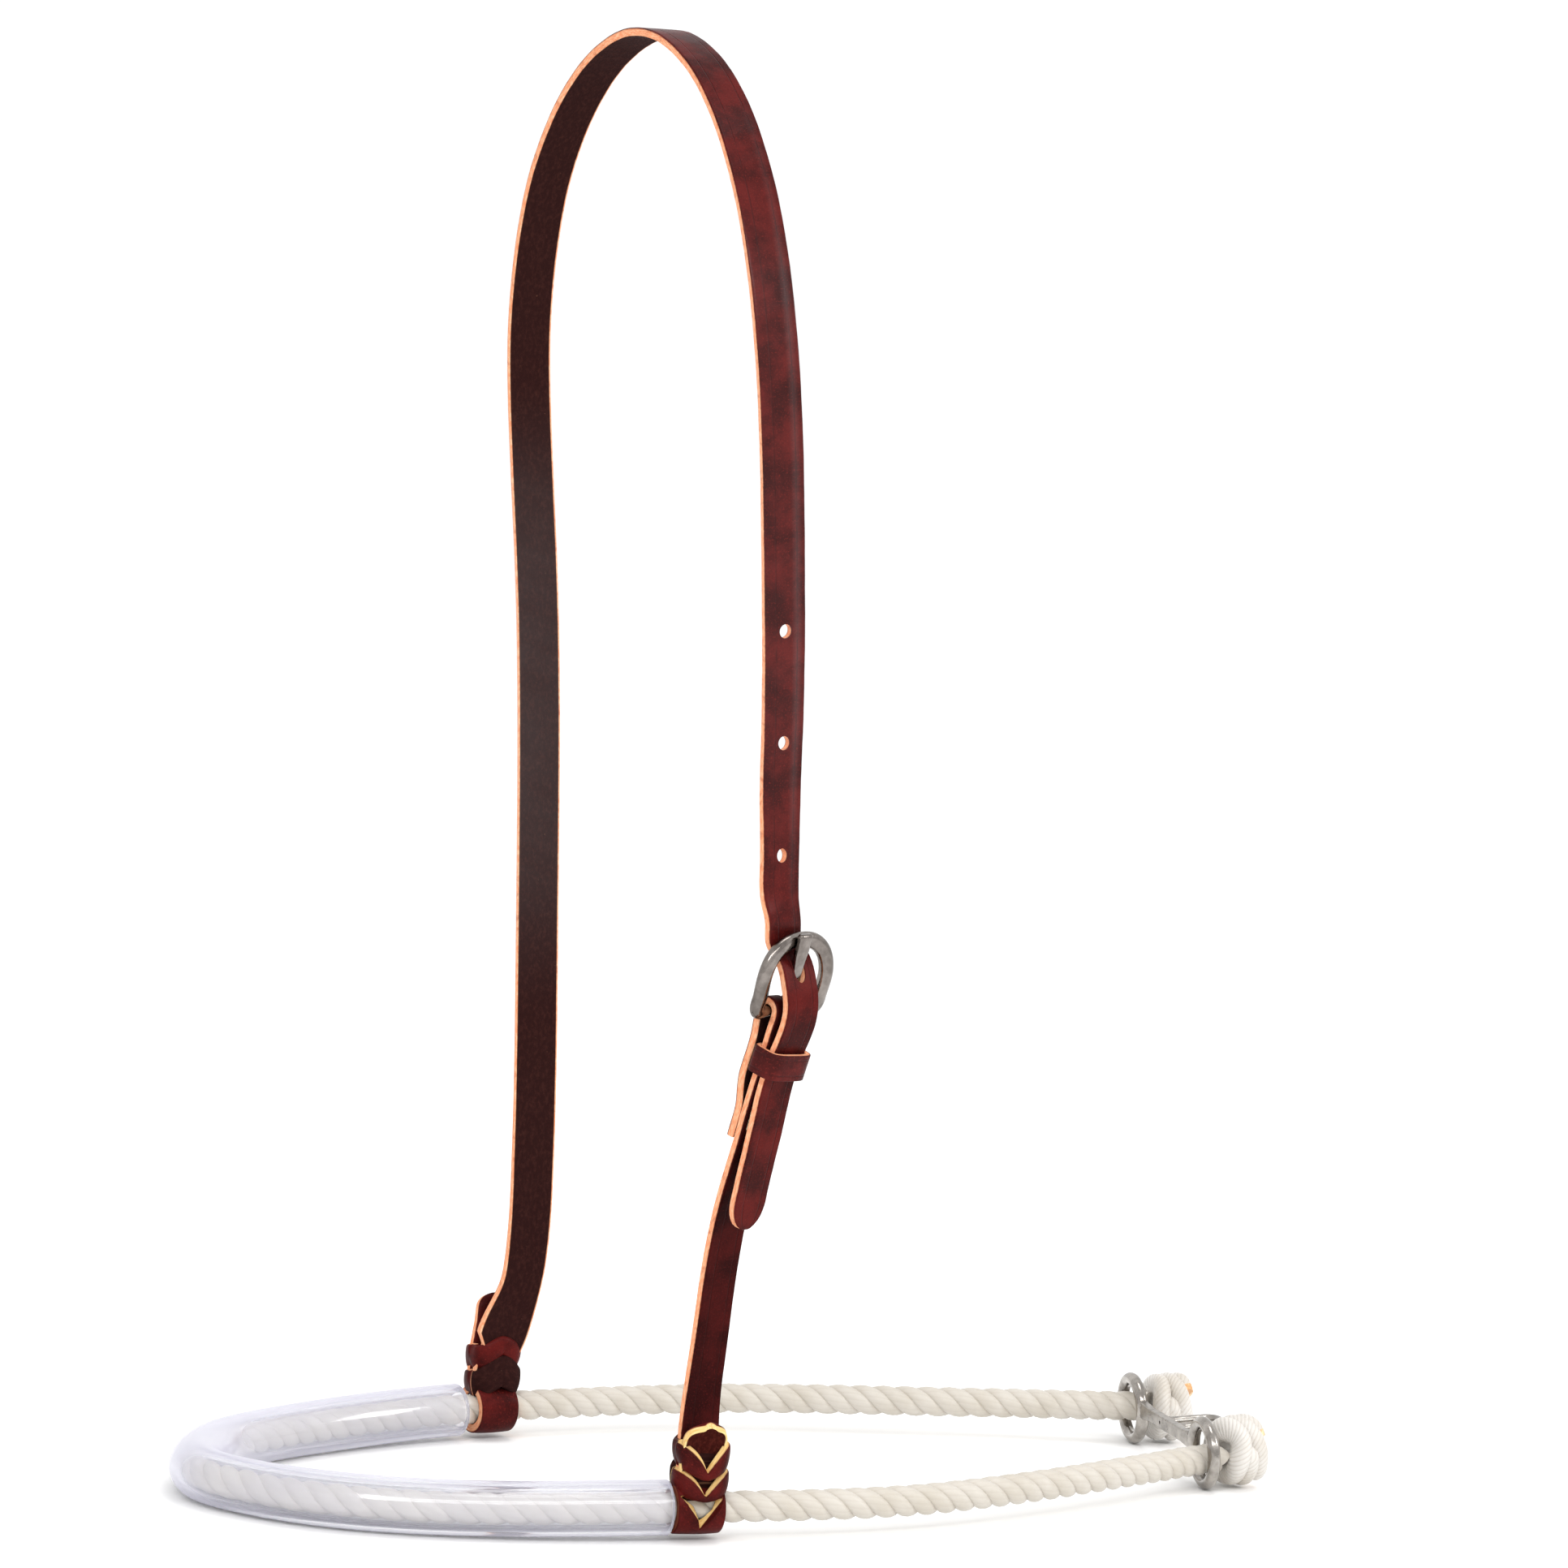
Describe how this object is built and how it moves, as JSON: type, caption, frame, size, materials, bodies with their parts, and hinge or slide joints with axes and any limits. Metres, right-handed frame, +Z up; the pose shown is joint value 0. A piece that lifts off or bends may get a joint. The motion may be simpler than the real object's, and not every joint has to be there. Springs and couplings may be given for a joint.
{
  "type": "rope noseband",
  "caption": "Horse's rope noseband: a rope nose loop in a clear tube, a buckled leather crown strap tied to it on both cheeks, and a steel tie-down fitting at the chin.",
  "frame": {"origin": "middle of the footprint, on the surface that the noseband stands on", "axes": "+Z up to the crown, -X towards the horse's nose tube, +X towards the tie-down fitting, -Y the near cheek with the buckle"},
  "size_m": [0.4226, 0.2172, 0.5119],
  "materials": {
    "waxed_rope": "waxed three-strand rope",
    "knot_rope": "bright polyester rope",
    "clear_vinyl": "clear glossy vinyl",
    "crown_leather": "oiled dark red-brown",
    "buckle_leather": "oiled dark red-brown",
    "keeper_leather": "oiled dark red-brown",
    "sewing_thread": "waxed tan thread",
    "frame_steel": "polished stainless",
    "tongue_steel": "polished stainless",
    "ring_steel": "tumbled stainless",
    "plate_steel": "tumbled stainless"
  },
  "bodies": {
    "noseband": {"rope": "waxed_rope", "near_end_knot": "knot_rope", "far_end_knot": "knot_rope", "nose_tube": "clear_vinyl", "crown_strap": "crown_leather", "buckle_strap": "buckle_leather", "front_stitch_row": "sewing_thread", "rear_stitch_row": "sewing_thread"},
    "keeper_loop": {"keeper": "keeper_leather"},
    "buckle": {"buckle_frame": "frame_steel"},
    "tongue": {"buckle_tongue": "tongue_steel"},
    "tail_fitting": {"near_ring": "ring_steel", "far_ring": "ring_steel", "joining_plate": "plate_steel", "tie_dee": "ring_steel"}
  },
  "joints": [
    {"name": "keeper_slide", "type": "slide", "parent": "noseband", "child": "keeper_loop", "axis": [0.1502, -0.2202, 0.9638], "range_m": [-0.003, 0.0005]},
    {"name": "buckle_tilt", "type": "hinge", "parent": "noseband", "child": "buckle", "pos_m": [-0.04281, -0.09688, 0.18535], "axis": [0.9336, 0.3584, 0], "range_deg": [0, 3]},
    {"name": "tongue_lift", "type": "hinge", "parent": "buckle", "child": "tongue", "pos_m": [-0.04281, -0.09688, 0.18535], "axis": [0.9336, 0.3584, 0], "range_deg": [0, 4]},
    {"name": "tail_fitting_tilt", "type": "hinge", "parent": "noseband", "child": "tail_fitting", "pos_m": [0.17928, 0.00232, 0.01325], "axis": [0.1828, 0.9832, 0], "range_deg": [-8, 8]}
  ]
}
